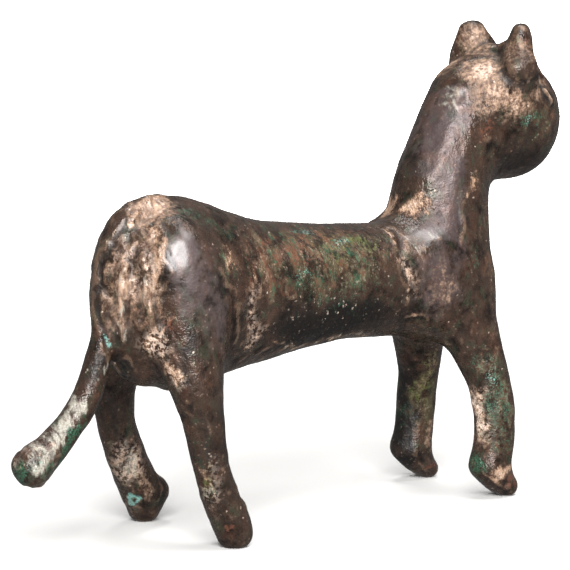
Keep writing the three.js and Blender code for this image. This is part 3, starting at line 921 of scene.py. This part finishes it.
def buried_bronze(colours, finishes):
    """Cast tin bronze after long burial: a dark, satin oxide skin over metal. It is rubbed smooth
    on the high forms, and covered in places by earth, red copper oxide and green corrosion."""
    material, tree = new_material("Buried cast bronze")
    place = add(tree, "TexCoord").outputs["Object"]
    share = {name: add(tree, "Attribute", attribute_name="share_" + name).outputs["Fac"]
             for name in finishes}

    def grain(size, detail, rough, shift, stretch=(1, 1, 1)):
        """Noise with grains of a size in mm. The shift keeps it from repeating another."""
        moved = add(tree, "Mapping", {
            "Vector": place, "Location": (shift, shift, shift), "Scale": stretch})
        noise = add(tree, "TexNoise", {
            "Vector": moved.outputs["Vector"], "Scale": 1 / (size * MM), "Detail": detail,
            "Roughness": rough})
        return noise.outputs["Fac"]

    def total(value, *terms):
        """A value with others added. Each term is a pair of a value and its weight."""
        for other, weight in terms:
            weighed = add(tree, "Math", {0: other, 1: weight}, operation="MULTIPLY").outputs[0]
            value = add(tree, "Math", {0: value, 1: weighed}, operation="ADD").outputs[0]
        return value

    def varied(value, *terms):
        """A value made uneven. Each term is a pair of a noise and how far it moves the value."""
        for noise, reach in terms:
            swing = add(tree, "Math", {0: noise, 1: 0.5}, operation="SUBTRACT").outputs[0]
            value = total(value, (swing, reach))
        return value

    def band(value, low, high, *masks, ends=(0.0, 1.0)):
        """0 up to the low value and 1 from the high one on, and only inside the masks."""
        inside = add(tree, "MapRange", {
            "Value": value, "From Min": low, "From Max": high, "To Min": ends[0],
            "To Max": ends[1]}, interpolation_type="SMOOTHSTEP").outputs[0]
        for mask in masks:
            inside = add(tree, "Math", {0: inside, 1: mask}, operation="MULTIPLY").outputs[0]
        return inside

    def laid(under, over, where, amount=1.0):
        """One colour over another. where is its share at a place, amount its strength."""
        seen = add(tree, "Math", {0: where, 1: amount}, operation="MULTIPLY").outputs[0]
        return add(tree, "Mix", {0: seen, 6: under, 7: over}, data_type="RGBA").outputs[2]

    def broken(name, noise, spread, low=0.25, high=0.85):
        """A finish whose edge breaks up into grains, as a crust does."""
        return band(varied(share[name], (noise, spread)), low, high, band(share[name], 0.02, 0.3))

    fine = grain(0.3, detail=4, rough=0.65, shift=0)
    grit = grain(0.8, detail=5, rough=0.65, shift=0.31)
    patch = grain(2.2, detail=5, rough=0.65, shift=0.57)
    broad = grain(7.0, detail=4, rough=0.6, shift=0.83)
    streaks = grain(0.8, detail=4, rough=0.6, shift=1.13, stretch=(1, 0.45, 0.3))
    flow = grain(1.7, detail=3, rough=0.5, shift=5.1, stretch=(1, 0.9, 0.35))
    mixed = total(0.0, (grit, 0.25), (patch, 0.25), (streaks, 0.25), (fine, 0.25))

    lilac = broken("lilac", patch, 1.6)
    olive = broken("olive", patch, 1.8)
    deep = broken("deep", mixed, 2.6, 0.05, 1.1)
    rust = broken("rust", grit, 3.0)
    green = broken("green", mixed, 5.0)
    yellow_green = broken("moss", grit, 2.4)
    powder = broken("turquoise", fine, 2.4)
    pale = broken("pale", streaks, 2.0)
    gloss = band(share["gloss"], 0.1, 0.8)
    crust = share["crust"]
    folded_skin = share["folded"]
    plain_skin = total(1.0, (folded_skin, -1.0))

    # The metal's own skin: dark brown, clouded with lilac and olive
    skin = laid(colours.deep, colours.bronze, band(patch, 0.35, 0.62))
    skin = laid(skin, colours.bronze, band(broad, 0.4, 0.6, ends=(0.1, 0.8)))
    skin = laid(skin, colours.olive, olive)
    skin = laid(skin, colours.lilac, lilac, 0.9)
    # Red oxide, green, earth and dark oxide in small grains, most of them on the flanks
    grainy = total(0.15, (broken("mottled", patch, 1.6), 0.62))
    for tint, size, shift, low, high in (
            (colours.rust, 3.0, 2.11, 0.5, 0.64), (colours.green, 2.2, 1.27, 0.52, 0.64),
            (colours.earth, 2.6, 0.71, 0.48, 0.62), (colours.deep, 3.4, 1.91, 0.46, 0.58)):
        grains = grain(size, detail=5, rough=0.68, shift=shift, stretch=(1, 0.8, 0.6))
        skin = laid(skin, tint, band(grains, low, high), grainy)
    # Darkest patina, and painted shade in grooves and on the sides that face down or away
    skin = laid(skin, colours.deep, deep)
    skin = laid(skin, colours.rust, rust, 0.8)
    skin = laid(skin, colours.moss, yellow_green, 0.7)
    # A thin film of earth and tin-rich deposit, most of it on the head and the rump. It also
    # paints a reflection along the belly rim and highlights on the eyes and shoulder.
    dust_and_sheen_amount = varied(share["film_and_painted_light"], (mixed, 2.6))
    dust_and_sheen_cover = band(dust_and_sheen_amount, 0.15, 0.85, band(share["film_and_painted_light"], 0.02, 0.3))
    dust_and_sheen_colour = laid(colours.earth, colours.tan, band(grit, 0.4, 0.6))
    dust_and_sheen_colour = laid(dust_and_sheen_colour, colours.cream, band(dust_and_sheen_amount, 0.65, 1.15))
    skin = laid(skin, dust_and_sheen_colour, dust_and_sheen_cover, 0.9)
    skin = laid(skin, colours.earth, band(fine, 0.44, 0.34, dust_and_sheen_cover), 0.5)
    # Deposits over it: earth brown where they are thin, cream where they are thick. The cream on
    # the rump's crest and ridges is partly painted highlight.
    deposit_and_highlight_amount = total(
        0.0, (share["deposit_and_painted_highlight"], 0.72), (varied(0.0, (mixed, 3.6)), plain_skin),
        (varied(-0.38, (flow, 3.0)), folded_skin), (share["folds"], 0.4),
        (crust, varied(0.25, (grit, 2.4))))
    deposit_and_highlight_cover = band(deposit_and_highlight_amount, 0.1, 0.5, band(share["deposit_and_painted_highlight"], 0.02, 0.35))
    deposit_and_highlight_colour = laid(colours.earth, colours.tan, band(deposit_and_highlight_amount, 0.3, 0.62))
    deposit_and_highlight_colour = laid(deposit_and_highlight_colour, colours.cream, band(deposit_and_highlight_amount, 0.6, 1.05))
    crack = varied(0.0, (streaks, 1.0))
    crack = add(tree, "Math", {0: crack}, operation="ABSOLUTE").outputs[0]
    deposit_and_highlight_colour = laid(deposit_and_highlight_colour, colours.bronze, band(crack, 0.022, 0.0), 0.7)
    skin = laid(skin, deposit_and_highlight_colour, deposit_and_highlight_cover, 0.95)
    # Corrosion on top, with the skin under it showing between its grains. The grey-white is partly
    # painted highlight and reflection, on tail, ridges, crest, shoulder and belly rim.
    skin = laid(skin, laid(colours.lilac, colours.pale, band(fine, 0.28, 0.5)), pale, 0.85)
    skin = laid(skin, laid(colours.deep, colours.green, band(fine, 0.38, 0.62)), green, 0.85)
    skin = laid(skin, colours.turquoise, powder, 0.8)
    # Specks and flakes of pale deposit all over, and close glints on the flanks and hind legs
    dots, chips = (
        add(tree, "TexVoronoi", {"Vector": place, "Scale": 1 / (size * MM)}).outputs["Distance"]
        for size in (0.9, 2.1))
    speck = band(varied(dots, (fine, 1.0)), 0.24, 0.1, band(patch, 0.5, 0.6))
    skin = laid(skin, colours.tan, speck, 0.3)
    flake = band(varied(chips, (fine, 0.5)), 0.1, 0.05, band(broad, 0.5, 0.58))
    skin = laid(skin, colours.cream, flake, 0.6)
    glint = band(varied(dots, (fine, 1.8)), 0.28, 0.12, band(grit, 0.47, 0.6), share["flecked"])
    glints = laid(colours.green, colours.cream, band(patch, 0.46, 0.52))
    skin = laid(skin, glints, glint, 0.62)
    # Dark in the hollows, and paler on worn edges
    sunk = band(varied(share["hollow"], (grit, 2.0)), 0.3, 1.3,
                band(folded_skin, 0.0, 1.0, ends=(1.0, 0.6)))
    skin = laid(skin, colours.deep, sunk, 0.7)
    worn = band(varied(share["edge"], (mixed, 3.0)), 0.4, 1.2)
    skin = laid(skin, colours.tan, worn, 0.22)
    # Dark gaps and bright flakes in the crust. The cream flakes are partly painted highlights that
    # stand in for the crust's glints.
    skin = laid(skin, colours.deep, band(grit, 0.48, 0.42, crust), 0.8)
    skin = laid(skin, colours.cream, band(grit, 0.48, 0.53, crust), 0.95)

    covered = deposit_and_highlight_cover
    for layer in (green, pale, speck, dust_and_sheen_cover):
        covered = add(tree, "Math", {0: covered, 1: layer}, operation="MAXIMUM").outputs[0]
    rough = band(total(grit, (patch, 0.5)), 0.55, 0.95, ends=(0.2, 0.36))
    rough = total(
        rough, (covered, 0.06), (deep, 0.2), (olive, 0.12), (lilac, 0.1), (dust_and_sheen_cover, 0.22),
        (folded_skin, -0.1), (crust, -0.18), (gloss, 0.08), (share["hollow"], 0.2))
    metal = band(covered, 0.0, 1.0, band(deep, 0.0, 1.0, ends=(1.0, 0.2)), ends=(0.3, 0.05))

    # Cast grain, scratches and crumbs of crust, too fine for the mesh. Heights are in mm.
    coarse = total(0.42, (covered, 0.6), (gloss, -0.24), (folded_skin, -0.55), (lilac, -0.18))
    coarse = add(tree, "Math", {0: coarse, 1: 0.22}, operation="MAXIMUM").outputs[0]
    coarse = total(coarse, (crust, 0.8))
    relief = varied(
        0.0, (grain(0.35, detail=1, rough=0.5, shift=3.1), 0.2),
        (grain(0.9, detail=2, rough=0.5, shift=3.7), 0.35),
        (grain(1.0, detail=2, rough=0.5, shift=4.3, stretch=(1, 0.6, 0.4)), 0.4))
    relief = add(tree, "Math", {0: relief, 1: coarse}, operation="MULTIPLY").outputs[0]
    bump = add(tree, "Bump", {"Height": relief, "Strength": 1.0, "Distance": 1.0 * MM})

    shader = add(tree, "BsdfPrincipled", {
        "Base Color": skin, "Metallic": metal, "Roughness": rough,
        "Normal": bump.outputs["Normal"], "Specular IOR Level": 0.42,
        "Coat Weight": total(0.0, (gloss, 0.65)), "Coat Roughness": 0.24, "Coat IOR": 1.6})
    add(tree, "OutputMaterial", {"Surface": shader.outputs["BSDF"]})
    return material


def painted_floor(settings):
    """A matt white painted studio floor, even and without texture."""
    material, tree = new_material("Matt white floor paint")
    shader = add(tree, "BsdfPrincipled", {"Base Color": settings.floor, "Roughness": 0.9})
    add(tree, "OutputMaterial", {"Surface": shader.outputs["BSDF"]})
    return material


# Operators


class OBJECT_OT_panther_casting(bpy.types.Operator):
    """Build the bronze casting on the solid's form, with its relief and patina"""
    bl_idname = "object.panther_casting"
    bl_label = "Panther Casting"

    def execute(self, context):
        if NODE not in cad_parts:
            raise RuntimeError("the frame has no node named " + NODE)
        piece, skin, crust, folds = build_surface(context.scene.panther_casting)
        shares = patina_shares(skin, crust, folds)
        paint(piece.data, shares)
        piece.data.materials.append(buried_bronze(context.scene.panther_patina, shares))
        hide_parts(NODE)
        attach(piece, "root")
        return {"FINISHED"}


def lay_floor(settings):
    """A round floor, wider than any view of the figure."""
    bm = bmesh.new()
    bmesh.ops.create_circle(bm, cap_ends=True, radius=FLOOR_RADIUS, segments=96)
    mesh = bpy.data.meshes.new("studio_floor")
    bm.to_mesh(mesh)
    bm.free()
    mesh.materials.append(painted_floor(settings))
    floor = bpy.data.objects.new("studio_floor", mesh)
    bpy.context.scene.collection.objects.link(floor)
    floor.visible_glossy = False  # the polished bronze mirrors a dark studio, not its floor


def softbox(name, direction, distance, size, power, target):
    """A rectangular area light, facing the target from that direction."""
    lamp = bpy.data.lights.new(name, "AREA")
    lamp.shape = "RECTANGLE"
    lamp.size, lamp.size_y = size
    lamp.energy = power
    box = bpy.data.objects.new(name, lamp)
    bpy.context.scene.collection.objects.link(box)
    way = Vector(direction).normalized()
    box.location = target + way * distance
    box.rotation_mode = "QUATERNION"
    box.rotation_quaternion = way.to_track_quat("Z", "Y")
    return lamp


def white_room(brightness):
    """Soft light from all round."""
    world = bpy.data.worlds.new("white_room")
    bpy.context.scene.world = world
    world.use_nodes = True
    background = world.node_tree.nodes["Background"]
    background.inputs["Color"].default_value = (1, 1, 1, 1)
    background.inputs["Strength"].default_value = brightness


def place_camera(settings, target):
    """A camera that sees the figure as the photograph does."""
    a, e = settings.azimuth, settings.elevation
    back = Vector((math.sin(a) * math.cos(e), -math.cos(a) * math.cos(e), math.sin(e)))
    lens = bpy.data.cameras.new("camera")
    lens.sensor_width = SENSOR_WIDTH
    lens.lens = SENSOR_WIDTH * settings.distance / (IMAGE_PIXELS * PIXEL * MM)
    camera = bpy.data.objects.new("camera", lens)
    bpy.context.scene.collection.objects.link(camera)
    camera.location = target + back * settings.distance
    camera.rotation_mode = "QUATERNION"
    camera.rotation_quaternion = back.to_track_quat("Z", "Y")
    bpy.context.scene.camera = camera


class SCENE_OT_panther_stage(bpy.types.Operator):
    """Set up the pale floor, the softboxes and the camera at the photograph's angle"""
    bl_idname = "scene.panther_stage"
    bl_label = "Panther Stage"

    def execute(self, context):
        settings = context.scene.panther_stage
        lay_floor(settings)
        target = Vector(PICTURE_MIDDLE) * MM
        softbox("main_softbox", direction=(-0.53, -0.68, 0.5), distance=0.8, size=(0.55, 0.42),
                power=settings.key, target=target)
        softbox("top_softbox", direction=(0.15, -0.35, 0.93), distance=0.65, size=(0.4, 0.4),
                power=settings.top, target=target)
        rear = softbox("background_softbox", direction=(0.0, 0.0, 1.0), distance=1.3,
                       size=(2.2, 2.2), power=settings.rear, target=Vector((1.2, 1.4, 0.0)))
        rear.spread = math.radians(60)
        white_room(settings.surround)
        place_camera(settings, target)
        context.scene.view_settings.view_transform = "Standard"
        return {"FINISHED"}


class VIEW3D_PT_panther(bpy.types.Panel):
    """Settings and steps of the bronze panther figure"""
    bl_label = "Panther"
    bl_idname = "VIEW3D_PT_panther"
    bl_space_type = "VIEW_3D"
    bl_region_type = "UI"
    bl_category = "Panther"

    def draw(self, context):
        for name, operator in (("panther_casting", "object.panther_casting"),
                               ("panther_patina", None),
                               ("panther_stage", "scene.panther_stage")):
            box = self.layout.box()
            group = getattr(context.scene, name)
            for key in group.bl_rna.properties.keys():
                if key not in {"rna_type", "name"}:
                    box.prop(group, key)
            if operator:
                box.operator(operator)


GROUPS = {
    "panther_casting": PantherCastingSettings,
    "panther_patina": PantherPatinaSettings,
    "panther_stage": PantherStageSettings,
}
CLASSES = (*GROUPS.values(), OBJECT_OT_panther_casting, SCENE_OT_panther_stage, VIEW3D_PT_panther)


def register():
    for cls in CLASSES:
        bpy.utils.register_class(cls)
    for name, group in GROUPS.items():
        setattr(bpy.types.Scene, name, bpy.props.PointerProperty(type=group))


def unregister():
    for name in GROUPS:
        delattr(bpy.types.Scene, name)
    for cls in reversed(CLASSES):
        bpy.utils.unregister_class(cls)


def main():
    """Builds the scene."""
    register()
    bpy.ops.object.panther_casting()
    bpy.ops.scene.panther_stage()


if __name__ == "__main__":
    main()
